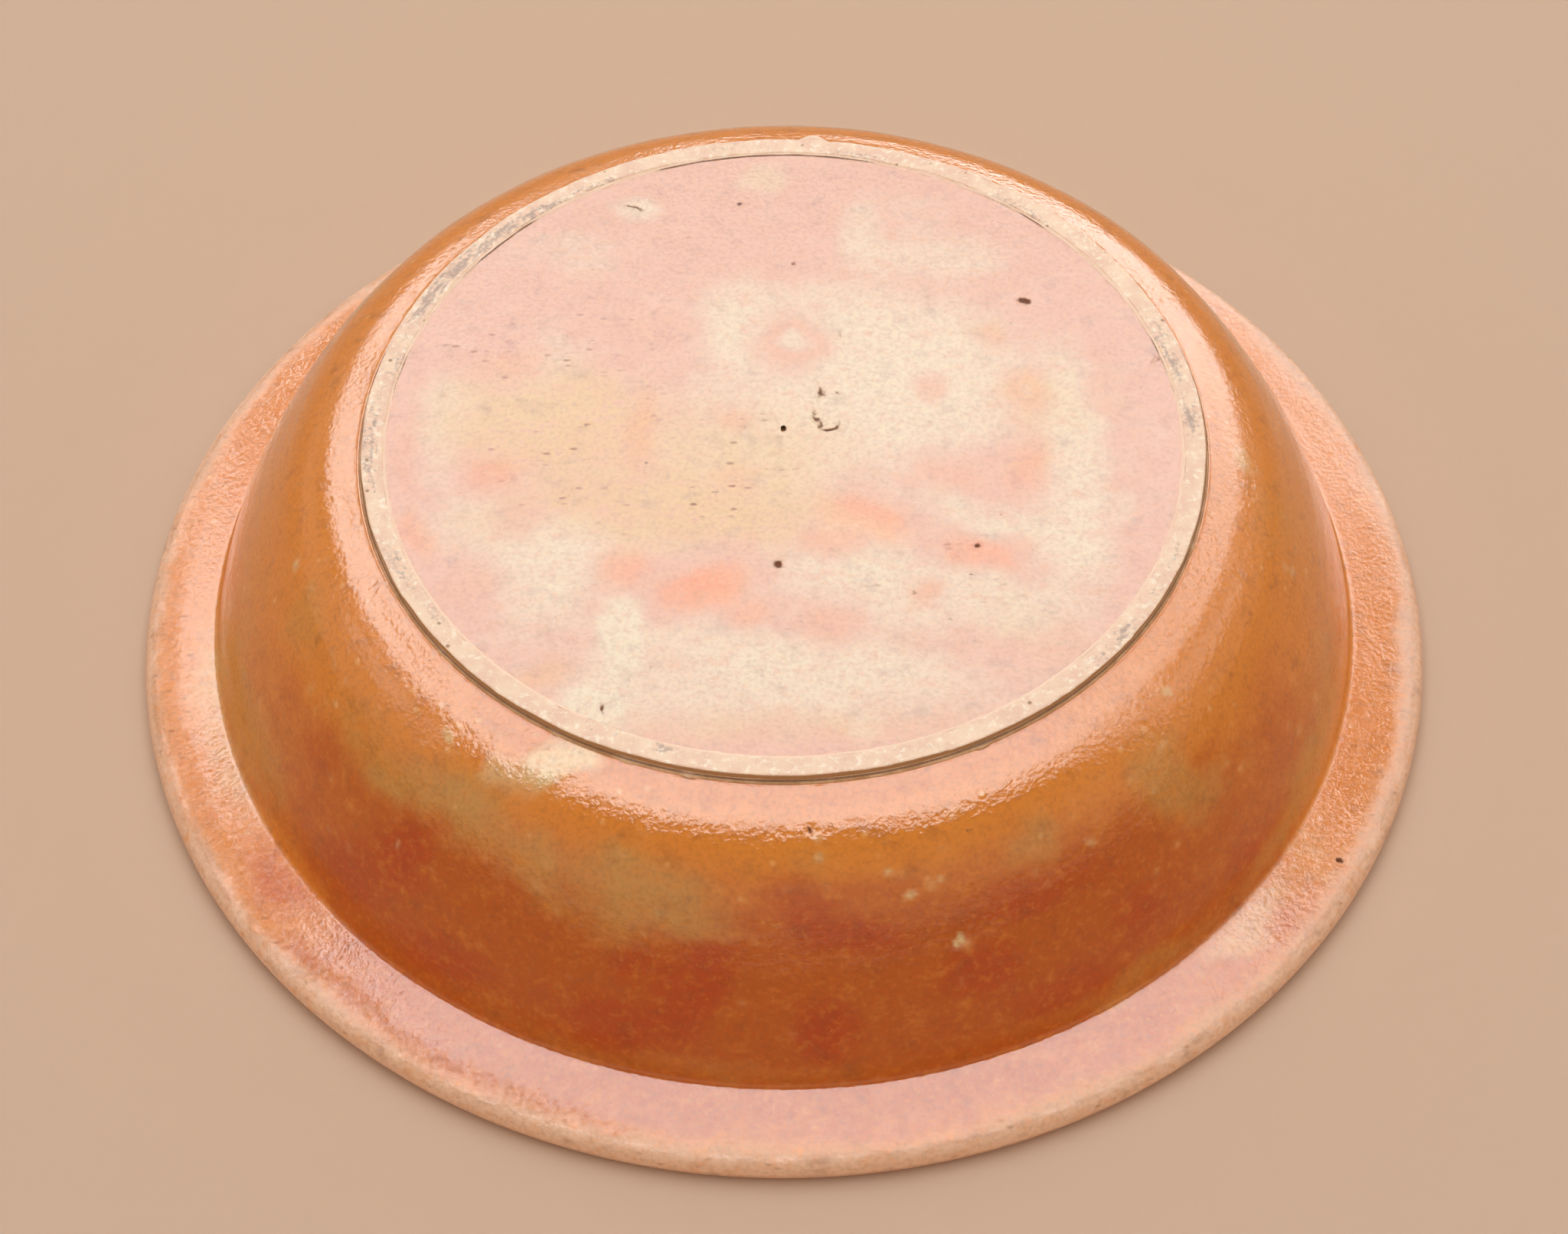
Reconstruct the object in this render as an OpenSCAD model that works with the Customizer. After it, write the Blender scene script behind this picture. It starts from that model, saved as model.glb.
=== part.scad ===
// Round footed serving dish in glazed earthenware.
// The dish stands on its foot ring at z = 0 with its open side up, and is turned about Z.
// Each piece is a section in the half plane of radius and height, turned once round.
// Outside sizes are those of the glazed dish: the clay lies one coat of glaze beneath them.

/* [Rim] */
// Diameter over the lip
rim_d = 240; // [220:1:265]
// Height from the tread of the foot to the top of the lip
height = 53.5; // [46:0.5:62]
// Radius of the rounded lip, which is half the thickness of the flange
lip_r = 3; // [2.2:0.1:3.8]
// Width of the flange outside, from the top of the wall to the edge of the lip
flange_w = 14; // [10:0.5:18]
// Rise of the flange towards its edge, in degrees
flange_tilt = 9; // [0:0.5:14]

/* [Wall] */
// Thickness of the wall
wall_t = 6; // [4.5:0.1:8]
// Radius of the outside curve of the wall, from the shoulder to the flange
wall_r = 114; // [80:1:150]
// Radius of the outside curve of the shoulder, beside the foot
shoulder_r = 23; // [16:1:30]
// Slope at which the shoulder leaves the foot, in degrees
shoulder_slope = 12; // [4:1:18]

/* [Well] */
// Thickness of the floor
floor_t = 7.6; // [5:0.1:10]
// Radius of the curve between the floor and the wall inside
well_r = 22; // [12:1:30]
// Radius of the edge between the wall inside and the flange
well_edge_r = 4; // [2:0.1:6]

/* [Foot] */
// Outside diameter of the foot ring
foot_d = 149; // [130:1:160]
// Width of the foot ring
foot_w = 4; // [3:0.1:6]
// Height of the shoulder above the tread, outside the ring
foot_stand = 2.2; // [1.8:0.1:4]
// Depth of the base inside the ring
base_recess = 0.7; // [0.6:0.1:1.4]
// Radius of the two edges of the tread
tread_edge_r = 0.4; // [0.2:0.1:0.4]

/* [Slip seams] */
// Radius of the slip fillet outside the ring
outer_seam_r = 0.9; // [0.5:0.1:1.8]
// Radius of the slip fillet inside the ring
inner_seam_r = 0.6; // [0.3:0.1:1]

/* [Glaze] */
// Thickness of a coat of glaze
glaze_t = 0.4; // [0.2:0.05:0.6]

/* [Hidden] */

$fn = 180;
// Largest turn of one straight step along a curved section, in degrees
arc_step = 4;

clay_colour = [0.89, 0.78, 0.67];
slip_colour = [0.58, 0.44, 0.31];
glaze_colour = [0.73, 0.41, 0.14];

// The foot ring, and the planes of the clay that it is luted to
ring_out = foot_d / 2;
ring_in = ring_out - foot_w;
base_clay_z = base_recess + glaze_t;
seat_z = foot_stand + glaze_t;

// The seams, each held to the straight side of the ring above its tread
outer_leg = min(outer_seam_r, foot_stand - tread_edge_r);
inner_leg = min(inner_seam_r, base_recess - tread_edge_r);
seam_out = ring_out + outer_leg;
seam_in = ring_in - inner_leg;

// The flange: its direction outwards, its lower and upper normals and the centre of its lip
flange_run = [cos(flange_tilt), sin(flange_tilt)];
flange_under = [sin(flange_tilt), -cos(flange_tilt)];
flange_upper = -flange_under;
lip_c = [rim_d / 2 - lip_r, height - lip_r];

// The outside curves: the shoulder leaves the clay beside the outer seam, and the wall curve
// touches it and ends under the flange
shoulder_c = [seam_out, seat_z]
    + (shoulder_r - glaze_t) * [-sin(shoulder_slope), cos(shoulder_slope)];
wall_top_r = rim_d / 2 - flange_w;
lip_under = lip_c + lip_r * flange_under;
wall_top = [wall_top_r, lip_under.y - (lip_under.x - wall_top_r) * tan(flange_tilt)];
wall_c = circles_meet(shoulder_c, wall_r - shoulder_r, wall_top, wall_r);
shoulder_end = angle_of(shoulder_c - wall_c);

// The inside curves: the wall shares its centre with the outside, the well curve touches the
// wall and the floor, and the edge curve touches the wall and the upper face of the flange
well_z = base_recess + floor_t;
wall_in_r = wall_r - wall_t;
well_c_z = well_z + well_r;
well_c = [
    wall_c.x + sqrt(pow(wall_in_r - well_r, 2) - pow(well_c_z - wall_c.y, 2)),
    well_c_z
];
well_start = angle_of(well_c - wall_c);
edge_c = line_leaves_circle(
    lip_c + (lip_r - well_edge_r) * flange_upper, flange_run, wall_c, wall_in_r + well_edge_r
);
wall_in_start = angle_of(edge_c - wall_c);

// Direction of a vector, in degrees
function angle_of(v) = atan2(v.y, v.x);

// Points along an arc from angle a0 to angle a1
function arc(c, r, a0, a1) =
    let (n = max(2, ceil(abs(a1 - a0) / arc_step)))
    [for (i = [0:n]) let (a = a0 + (a1 - a0) * i / n) c + r * [cos(a), sin(a)]];

// A list without its first item, for a curve that starts where the last one ended
function rest(list) = [for (i = [1:len(list) - 1]) list[i]];

// A list in the other order
function turned(list) = [for (i = [len(list) - 1:-1:0]) list[i]];

// The upper left point at the distance ra from a and rb from b
function circles_meet(a, ra, b, rb) =
    let (d = norm(b - a), u = (b - a) / d)
    let (along = (ra * ra - rb * rb + d * d) / (2 * d))
    a + along * u + sqrt(ra * ra - along * along) * [-u.y, u.x];

// The point where a line from p along the unit vector u leaves a circle
function line_leaves_circle(p, u, c, r) =
    let (w = p - c, b = w * u)
    p + (sqrt(b * b - w * w + r * r) - b) * u;

// The outside section from the outer seam to the edge of the lip, a depth g under the glaze
function outside(g) =
    let (shoulder_start = -acos((seam_out - shoulder_c.x) / (shoulder_r - g)))
    let (under = lip_c + (lip_r - g) * flange_under)
    let (top = line_leaves_circle(under, flange_run, wall_c, wall_r - g))
    concat(
        arc(shoulder_c, shoulder_r - g, shoulder_start, shoulder_end),
        rest(arc(wall_c, wall_r - g, shoulder_end, angle_of(top - wall_c))),
        arc(lip_c, lip_r - g, flange_tilt - 90, 0)
    );

// The inside section from the edge of the lip to the middle of the floor, a depth g under the glaze
function inside(g) =
    concat(
        arc(lip_c, lip_r - g, 0, 90 + flange_tilt),
        arc(edge_c, well_edge_r - g, 90 + flange_tilt, 180 + wall_in_start),
        rest(arc(wall_c, wall_in_r + g, wall_in_start, well_start)),
        rest(arc(well_c, well_r + g, well_start, -90)),
        [[0, well_z - g]]
    );

// Clay floor, wall, flange and lip, thrown in one piece, with a pad that the foot ring goes round
module dish_body() {
    color(clay_colour)
    rotate_extrude()
    polygon(concat(
        [[0, base_clay_z], [ring_in, base_clay_z], [ring_in, seat_z]],
        outside(glaze_t),
        rest(inside(glaze_t))
    ));
}

// Clay ring luted round the pad, with a bare flat tread that the dish stands on
module foot_ring() {
    color(clay_colour)
    rotate_extrude()
    polygon(concat(
        [[ring_out, seat_z], [ring_in, seat_z]],
        arc([ring_in + tread_edge_r, tread_edge_r], tread_edge_r, 180, 270),
        arc([ring_out - tread_edge_r, tread_edge_r], tread_edge_r, 270, 360)
    ));
}

// Hollow fillet of slip between the outside of the ring and the shoulder
module outer_seam() {
    toe = outside(0)[0];
    color(slip_colour)
    rotate_extrude()
    polygon(concat(
        [[ring_out, seat_z], [seam_out, seat_z]],
        arc([seam_out, toe.y - outer_leg], outer_leg, 90, 180)
    ));
}

// Hollow fillet of slip between the inside of the ring and the base
module inner_seam() {
    color(slip_colour)
    rotate_extrude()
    polygon(concat(
        [[ring_in, base_clay_z], [seam_in, base_clay_z]],
        arc([seam_in, base_recess - inner_leg], inner_leg, 90, 0)
    ));
}

// Coat of glaze over the well, the upper face of the flange and the lip
module inner_glaze() {
    color(glaze_colour)
    rotate_extrude()
    polygon(concat(inside(0), turned(inside(glaze_t))));
}

// Coat of glaze over the shoulder, the wall outside and the lower face of the flange
module outer_glaze() {
    color(glaze_colour)
    rotate_extrude()
    polygon(concat(outside(0), turned(outside(glaze_t))));
}

// Coat of glaze over the base inside the ring
module base_glaze() {
    color(glaze_colour)
    translate([0, 0, base_recess])
    cylinder(r = seam_in, h = glaze_t);
}

dish_body();
foot_ring();
outer_seam();
inner_seam();
inner_glaze();
outer_glaze();
base_glaze();
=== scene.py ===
import math

import bpy
import numpy as np
from mathutils import Matrix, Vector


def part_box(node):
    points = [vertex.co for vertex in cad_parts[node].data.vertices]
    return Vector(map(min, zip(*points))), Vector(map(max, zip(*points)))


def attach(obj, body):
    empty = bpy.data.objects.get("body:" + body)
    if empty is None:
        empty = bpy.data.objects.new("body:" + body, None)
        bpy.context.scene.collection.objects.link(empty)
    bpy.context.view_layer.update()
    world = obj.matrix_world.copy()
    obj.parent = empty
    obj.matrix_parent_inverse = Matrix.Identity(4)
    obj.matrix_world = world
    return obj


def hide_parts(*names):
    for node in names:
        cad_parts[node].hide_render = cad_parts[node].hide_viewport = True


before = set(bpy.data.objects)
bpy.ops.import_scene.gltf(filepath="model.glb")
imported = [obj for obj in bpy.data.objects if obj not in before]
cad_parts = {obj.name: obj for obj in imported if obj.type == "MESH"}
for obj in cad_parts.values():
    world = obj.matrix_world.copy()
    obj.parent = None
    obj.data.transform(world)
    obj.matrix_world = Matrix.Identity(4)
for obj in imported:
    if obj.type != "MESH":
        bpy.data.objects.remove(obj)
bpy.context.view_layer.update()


# Body: the floor, wall, flange and lip of the dish, thrown from one lump of earthenware.
# The foot ring, the slip and the three coats of glaze cover all of it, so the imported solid
# stays as it is and gets its clay.
def add_node(tree, kind, inputs=None, **settings):
    """Adds a shader node. An input that is another node's output is linked, and any other is
    set as a constant."""
    made = tree.nodes.new(kind)
    for key, value in settings.items():
        setattr(made, key, value)
    for key, value in (inputs or {}).items():
        if isinstance(value, bpy.types.NodeSocket):
            tree.links.new(value, made.inputs[key])
        else:
            made.inputs[key].default_value = value
    return made


def add_math(tree, operation, *values):
    """Adds a shader step that works out one operation on its values, in their order."""
    step = add_node(tree, "ShaderNodeMath", dict(enumerate(values)), operation=operation)
    return step.outputs[0]


class Finish:
    """A material under construction, with the few kinds of step that clay, slip and glaze are
    mixed from."""

    def __init__(self, name):
        """Starts a material on Blender's usual surface, with its pattern on object coordinates."""
        self.material = bpy.data.materials.new(name)
        self.material.use_nodes = True
        self.tree = self.material.node_tree
        self.surface = self.tree.nodes["Principled BSDF"]
        self.place = add_node(self.tree, "ShaderNodeTexCoord").outputs["Object"]

    def stretched(self, stretch):
        """Object coordinates times a number on each axis: a pattern is drawn out along an axis
        whose number is under 1."""
        step = add_node(
            self.tree, "ShaderNodeVectorMath", {0: self.place, 1: stretch}, operation="MULTIPLY"
        )
        return step.outputs[0]

    def cloud(self, size, detail=3.0, rough=0.55, stretch=(1, 1, 1)):
        """Cloudy noise from 0 to 1 whose largest puffs are about the given size in metres."""
        place = self.stretched(stretch)
        inputs = {"Vector": place, "Scale": 1 / size, "Detail": detail, "Roughness": rough}
        return add_node(self.tree, "ShaderNodeTexNoise", inputs).outputs["Fac"]

    def field(self, name):
        """A value that the mesh carries on its points."""
        return add_node(self.tree, "ShaderNodeAttribute", attribute_name=name).outputs["Fac"]

    def sum(self, a, b, share=1.0):
        """a + share * b"""
        return add_math(self.tree, "MULTIPLY_ADD", b, share, a)

    def times(self, a, b):
        """a * b"""
        return add_math(self.tree, "MULTIPLY", a, b)

    def ease(self, value, low, high, start=0.0, end=1.0):
        """A value eased from start to end while it goes from low to high."""
        step = add_node(
            self.tree,
            "ShaderNodeMapRange",
            {"Value": value, "From Min": low, "From Max": high, "To Min": start, "To Max": end},
            interpolation_type="SMOOTHSTEP",
        )
        return step.outputs["Result"]

    def mix(self, share, a, b):
        """Colour a with a share of colour b laid over it."""
        step = add_node(self.tree, "ShaderNodeMix", {0: share, 6: a, 7: b}, data_type="RGBA")
        return step.outputs[2]

    def specks(self, spacing, size, kept, edge=0.35, stretch=(1, 1, 1)):
        """Round specks, one at most in each cell of the given spacing, in the kept share of the
        cells. A speck is full to the share edge of its size, and fades from there outwards."""
        place = self.stretched(stretch)
        cells = add_node(self.tree, "ShaderNodeTexVoronoi", {"Vector": place, "Scale": 1 / spacing})
        picked = add_math(self.tree, "LESS_THAN", cells.outputs["Color"], kept)
        near = self.ease(cells.outputs["Distance"], size / spacing * edge, size / spacing, 1.0, 0.0)
        return self.times(near, picked)

    def bump(self, height, depth):
        """Sets the fine relief: a height from 0 to 1 that stands for the given depth in metres."""
        inputs = {"Height": height, "Distance": depth, "Strength": 1.0}
        relief = add_node(self.tree, "ShaderNodeBump", inputs)
        self.tree.links.new(relief.outputs["Normal"], self.surface.inputs["Normal"])

    def set(self, socket, value):
        """Sets a socket of the surface: a node's output is linked, any other is a constant."""
        if isinstance(value, bpy.types.NodeSocket):
            self.tree.links.new(value, self.surface.inputs[socket])
        else:
            self.surface.inputs[socket].default_value = value


def bare_clay():
    """Fired clay without glaze: cloudy buff and pink tones with white and grey grit, and with
    smudges and slip where the mesh says."""
    clay = Finish("bare_clay")
    buff, pink, white = (0.90, 0.67, 0.49, 1), (0.86, 0.59, 0.45, 1), (0.98, 0.84, 0.68, 1)
    ash, brown, iron = (0.42, 0.30, 0.26, 1), (0.42, 0.24, 0.14, 1), (0.46, 0.25, 0.115, 1)
    puffs = clay.cloud(0.004, 4)
    grain = clay.cloud(0.0008, 3, 0.7)
    colour = clay.mix(clay.ease(puffs, 0.35, 0.65), buff, pink)
    colour = clay.mix(clay.ease(clay.cloud(0.0013, 3, 0.65), 0.50, 0.70), colour, white)
    grit = clay.ease(clay.sum(clay.field("smudge"), grain, 2.0), 1.3, 2.0)
    colour = clay.mix(clay.times(grit, 0.8), colour, ash)
    colour = clay.mix(clay.specks(0.0024, 0.0005, 0.25), colour, brown)
    slipped = clay.ease(clay.sum(clay.field("slipped"), grain, 0.8), 0.55, 1.05)
    colour = clay.mix(slipped, colour, iron)
    clay.set("Base Color", colour)
    clay.set("Roughness", clay.ease(puffs, 0.3, 0.7, 0.62, 0.86))
    clay.set("IOR", 1.5)
    clay.set("Specular IOR Level", 0.15)
    clay.bump(clay.sum(grain, puffs, 0.6), 0.00022)
    return clay.material


clay = bare_clay()
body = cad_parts["dish_body"]
body.data.materials.clear()
body.data.materials.append(clay)


# Foot ring: a rope of the same clay, luted round the pad under the floor and trimmed flat.
# Its tread is bare and worn: the edges are rubbed round, and nicks and smudges go all the way.
MM = 0.001
TURNS = 640  # rows of a turned piece
LATTICE = 40  # cubes of noise along each axis before it repeats
SAME_POINT = 1e-9  # points nearer than this are one
SHARP_EDGE = 55  # degrees

foot_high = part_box("foot_ring")[1]
ring_out = foot_high.x
ring_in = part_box("inner_seam")[1].x
seat_z = foot_high.z
tread_edge_r = 0.4 * MM


def arc(centre, radius, start, end, steps):
    """Points at even steps along a circular arc between two angles in degrees."""
    a = np.radians(np.linspace(start, end, steps + 1))
    return np.array(centre) + radius * np.stack([np.cos(a), np.sin(a)], -1)


def line(start, end, steps):
    """Points at even steps along a straight line."""
    return np.linspace(start, end, steps + 1)


def section(*runs):
    """Runs of points put end to end, with each point that two runs share kept once."""
    points = np.vstack(runs)
    apart = np.linalg.norm(np.diff(points, axis=0), axis=1) > SAME_POINT
    return points[np.r_[True, apart]]


def value_noise(points, cell, seed):
    """Smooth noise from -1 to 1: seeded values at the corners of cubes of the given size, eased
    between them."""
    lattice = np.random.default_rng(seed).uniform(-1, 1, (LATTICE, LATTICE, LATTICE))
    where = points / cell
    corner = np.floor(where).astype(int)
    t = where - corner
    t = t * t * (3 - 2 * t)
    total = np.zeros(points.shape[:-1])
    for k in range(8):
        step = np.array([k & 1, k >> 1 & 1, k >> 2])
        i = (corner + step) % LATTICE
        total += np.prod(np.where(step, t, 1 - t), -1) * lattice[i[..., 0], i[..., 1], i[..., 2]]
    return total


def unevenness(points, *waves):
    """Noise of several sizes: the sum of depth * noise over waves that give their depth, their
    size in millimetres and their seed."""
    return sum(depth * value_noise(points, size * MM, seed) for depth, size, seed in waves)


def eased(value, low, high):
    """0 below low and 1 above high, with a smooth step between."""
    t = np.clip((value - low) / (high - low), 0, 1)
    return t * t * (3 - 2 * t)


def turn_apart(turn, other):
    """The angle from one turn to another the short way round, in degrees."""
    return (turn - other + 180) % 360 - 180


def turn_of_rows():
    """The turn of each row of a turned piece in degrees, from the near side towards +X."""
    return np.arange(TURNS)[:, None] * 360 / TURNS


def in_space(radius, height):
    """Points of sections carried round the axis: x = r sin(turn), y = -r cos(turn), z."""
    turn = np.radians(turn_of_rows())
    return np.stack([radius * np.sin(turn), -radius * np.cos(turn), height + 0 * turn], -1)


def carried_round(points):
    """The radii, the heights and the points in space of a section carried round the axis."""
    radius, height = (np.tile(points[:, k], (TURNS, 1)) for k in range(2))
    return radius, height, in_space(radius, height)


def turned_piece(name, node, radius, height, fields, finish):
    """A closed mesh of a section carried round the axis: row i holds the section at turn i.
    A section that starts and ends on the axis closes at two poles; any other closes on itself.
    The fields are values on the same grid, which the finish reads from the points."""
    points = in_space(radius, height)
    on_axis = radius[0, 0] < SAME_POINT
    inner = slice(1, -1) if on_axis else slice(None)
    grid = points[:, inner]
    index = np.arange(grid.shape[0] * grid.shape[1]).reshape(grid.shape[:2])
    ahead = np.roll(index, -1, 0)
    vertices = grid.reshape(-1, 3)
    if on_axis:
        corners = [index[:, :-1], index[:, 1:], ahead[:, 1:], ahead[:, :-1]]
        first, last = len(vertices), len(vertices) + 1
        vertices = np.vstack([vertices, points[0, 0], points[0, -1]])
        caps = np.vstack([
            np.stack([np.full(TURNS, first), index[:, 0], ahead[:, 0]], -1),
            np.stack([index[:, -1], np.full(TURNS, last), ahead[:, -1]], -1),
        ])
    else:
        corners = [index, np.roll(index, -1, 1), np.roll(ahead, -1, 1), ahead]
        caps = np.zeros((0, 3), int)
    quads = np.stack(corners, -1).reshape(-1, 4)
    a, b, c, d = (vertices[quads[:, k]] for k in range(4))
    if np.einsum("ij,ij->", a, np.cross(b, c)) + np.einsum("ij,ij->", a, np.cross(c, d)) < 0:
        quads, caps = quads[:, ::-1], caps[:, ::-1]
    mesh = bpy.data.meshes.new(name)
    mesh.from_pydata(vertices.tolist(), [], quads.tolist() + caps.tolist())
    mesh.polygons.foreach_set("use_smooth", np.ones(len(mesh.polygons), bool))
    mesh.set_sharp_from_angle(angle=math.radians(SHARP_EDGE))
    for key, field in fields.items():
        field = np.broadcast_to(field, radius.shape)
        values = field[:, inner].ravel()
        if on_axis:
            values = np.r_[values, field[0, 0], field[0, -1]]
        layer = mesh.attributes.new(key, "FLOAT", "POINT")
        layer.data.foreach_set("value", values.astype(np.float32))
    mesh.materials.append(finish)
    piece = bpy.data.objects.new(name, mesh)
    bpy.context.scene.collection.objects.link(piece)
    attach(piece, "root")
    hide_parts(node)


foot_section = section(
    line((ring_in, seat_z), (ring_in, tread_edge_r), 8),
    arc((ring_in + tread_edge_r, tread_edge_r), tread_edge_r, 180, 270, 6),
    line((ring_in + tread_edge_r, 0), (ring_out - tread_edge_r, 0), 16),
    arc((ring_out - tread_edge_r, tread_edge_r), tread_edge_r, 270, 360, 6),
    line((ring_out, tread_edge_r), (ring_out, seat_z), 8),
    line((ring_out, seat_z), (ring_in, seat_z), 4)[:-1],
)
foot_r, foot_z, foot_points = carried_round(foot_section)
below_seat = eased(seat_z - foot_z, 0.0, 1.4 * MM)
rubbed = 0.15 + unevenness(foot_points, (0.10, 3.2, 11), (0.05, 1.1, 12))
nicks = eased(value_noise(foot_points, 2.3 * MM, 13), 0.45, 0.85) * 0.22
foot_z = foot_z + (rubbed + nicks) * MM * below_seat
foot_middle = (ring_in + ring_out) / 2
side = (foot_r - foot_middle) / (ring_out - foot_middle)
foot_r = foot_r - side * (0.12 + 0.12 * value_noise(foot_points, 5 * MM, 14)) * MM * below_seat
foot_turn = turn_of_rows()
# Turn and half width in degrees, strength, and place from the inner edge, -1, to the outer, 1
smudges = [
    (-169, 5, 0.7, -0.9), (-142, 8, 0.7, -0.9), (-105, 8, 0.9, -0.3), (-92, 3.5, 0.9, -0.1),
    (-67, 4, 0.6, 0.2), (-60, 2, 0.5, 0.0), (-52, 2.6, 1.0, 0.2), (-46, 3, 0.6, 0.3),
    (-20, 14, 0.25, 0.2), (16, 1.5, 0.7, -0.5), (24, 6, 0.4, -0.8), (55, 2, 0.7, -0.4),
    (65, 5, 0.7, 0.0), (88, 10, 0.8, 0.2), (103, 5, 0.6, -0.8), (117, 8, 0.9, 0.0),
    (130, 9, 1.0, -0.1), (142, 6, 0.7, -0.7), (152, 4, 0.6, -0.7), (171, 8, 0.4, -0.2),
]
SMUDGE_WIDTH = 0.75
foot_smudge = sum(
    strength * np.exp(
        -((turn_apart(foot_turn, at) / wide) ** 2) - ((side - across) / SMUDGE_WIDTH) ** 2
    )
    for at, wide, strength, across in smudges
)
streak_length, streak_width = 1.8, 0.5 * MM  # degrees round the ring, and across it
streaks = np.broadcast_arrays(foot_turn / streak_length, foot_r / streak_width, 0.0)
streaks = value_noise(np.stack(streaks, -1), 1, 15)
foot_smudge = np.clip(0.05 + foot_smudge * (0.75 + 0.5 * streaks), 0, 1)
outer_side = eased(foot_section[:, 0], ring_out - 0.3 * MM, ring_out - 0.05 * MM)
outer_side = outer_side * eased(foot_section[:, 1], 0.08 * MM, 0.35 * MM)
foot_fields = {"smudge": foot_smudge, "slipped": outer_side}
turned_piece("foot_ring_tread", "foot_ring", foot_r, foot_z, foot_fields, clay)


# Outer seam: slip worked into the corner between the ring and the shoulder with a finger.
# It dries as a hollow fillet with an uneven toe, fires dark brown, and keeps crumbs of clay.
def brown_slip():
    """Iron-brown slip: dull and gritty, and darker where the field deep says: towards the ring in
    the outer seam, and in the inner seam's dark runs, which are partly painted shadow. It has
    crumbs and wiped places in pale clay where the mesh says."""
    slip = Finish("brown_slip")
    brown, tan = (0.52, 0.28, 0.125, 1), (0.72, 0.44, 0.24, 1)
    cream, dark = (0.92, 0.68, 0.52, 1), (0.22, 0.115, 0.065, 1)
    puffs = slip.cloud(0.003, 4)
    grain = slip.cloud(0.0006, 3, 0.7)
    colour = slip.mix(slip.ease(slip.sum(puffs, grain, 0.5), 0.60, 0.95), brown, tan)
    colour = slip.mix(slip.ease(slip.sum(slip.field("pale"), grain, 0.5), 0.3, 1.1), colour, cream)
    colour = slip.mix(slip.ease(slip.sum(slip.field("deep"), grain, 0.5), 0.45, 0.95), colour, dark)
    slip.set("Base Color", colour)
    slip.set("Roughness", slip.ease(puffs, 0.3, 0.7, 0.5, 0.75))
    slip.set("IOR", 1.5)
    slip.set("Specular IOR Level", 0.15)
    slip.bump(slip.sum(grain, puffs, 0.5), 0.0002)
    return slip.material


slip = brown_slip()
seam_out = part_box("outer_seam")[1].x
outer_leg = seam_out - ring_out
toe_drop = 0.407 * MM  # from the seat to the skin of the glaze beside the seam
seam_bed = 0.2 * MM  # how deep a seam reaches into the ring
OUTER_STEPS = 12
toe_z = seat_z - toe_drop
seam_section = section(
    line((ring_out - seam_bed, toe_z - outer_leg), (ring_out - seam_bed, seat_z), 3),
    line((ring_out - seam_bed, seat_z), (seam_out, seat_z), 3),
    line((seam_out, seat_z), (seam_out, toe_z), 2),
    arc((seam_out, toe_z - outer_leg), outer_leg, 90, 180, OUTER_STEPS)[:-1],
)
seam_r, seam_z, seam_points = carried_round(seam_section)
seam_turn = turn_of_rows()
# Turn in degrees, half width and lift in millimetres, and paleness
crumbs = [
    (12, 1.1, 0.9, 0.3), (-25.5, 1.3, 0.9, 0.1), (30, 0.9, 0.6, 0.1), (20, 1.6, 0.4, 0.0),
    (50, 0.8, 0.4, 0.1), (184.5, 3.0, 1.7, 1.0), (-70, 1.0, 0.4, 0.3), (97, 1.0, 0.5, 0.5),
    (150, 1.6, 0.7, 0.7), (-140, 1.4, 0.6, 0.4),
]


def near_crumb(at, wide):
    """A bell round the ring, exp(-(arc / wide)^2), where arc is the distance from a crumb."""
    return np.exp(-((np.radians(turn_apart(seam_turn, at)) * ring_out / MM / wide) ** 2))


crumb_lift = sum(raised * near_crumb(at, wide) for at, wide, raised, _ in crumbs)
crumb_pale = sum(paleness * near_crumb(at, wide) for at, wide, _, paleness in crumbs)
hollow = np.zeros(len(seam_section))
hollow[-OUTER_STEPS:] = np.sin(np.linspace(-0.1, 1.0, OUTER_STEPS) * np.pi)
hollow = np.clip(hollow, 0, 1)
swell = 0.08 + unevenness(seam_points, (0.08, 4, 21), (0.07, 1.3, 22))
swell = (swell + crumb_lift) * MM
seam_r = seam_r + hollow * swell * 0.75
seam_z = seam_z - hollow * swell * 0.65
at_ring = np.zeros(len(seam_section))
at_ring[-OUTER_STEPS:] = eased(np.linspace(0, 1, OUTER_STEPS), 0.45, 1.0)
crumb_pale = np.clip(crumb_pale, 0, 1)
seam_fields = {"pale": crumb_pale, "deep": 0.7 * at_ring * (1 - crumb_pale)}
turned_piece("outer_slip_seam", "outer_seam", seam_r, seam_z, seam_fields, slip)


# Inner seam: a thinner line of the same slip, run round the inside of the ring to seal the luting.
# It was wiped with a wet brush, so it comes and goes, and painted shadow darkens it along the far
# side.
base_low, base_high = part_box("base_glaze")
seam_in = base_high.x
inner_leg = ring_in - seam_in
INNER_STEPS = 8
inner_section = section(
    line((ring_in + seam_bed, base_low.z - inner_leg), (ring_in + seam_bed, base_high.z), 2),
    line((ring_in + seam_bed, base_high.z), (seam_in, base_high.z), 2),
    line((seam_in, base_high.z), (seam_in, base_low.z), 2),
    arc((seam_in, base_low.z - inner_leg), inner_leg, 90, 0, INNER_STEPS)[:-1],
)
inner_r, inner_z, inner_points = carried_round(inner_section)
inner_turn = turn_of_rows()
inner_hollow = np.zeros(len(inner_section))
inner_hollow[-INNER_STEPS:] = np.sin(np.linspace(0.2, 0.9, INNER_STEPS) * np.pi)
inner_swell = (0.08 + unevenness(inner_points, (0.10, 3, 31), (0.05, 1, 32))) * MM
inner_r = inner_r - inner_hollow * inner_swell
inner_z = inner_z - inner_hollow * inner_swell * 0.5
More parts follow.
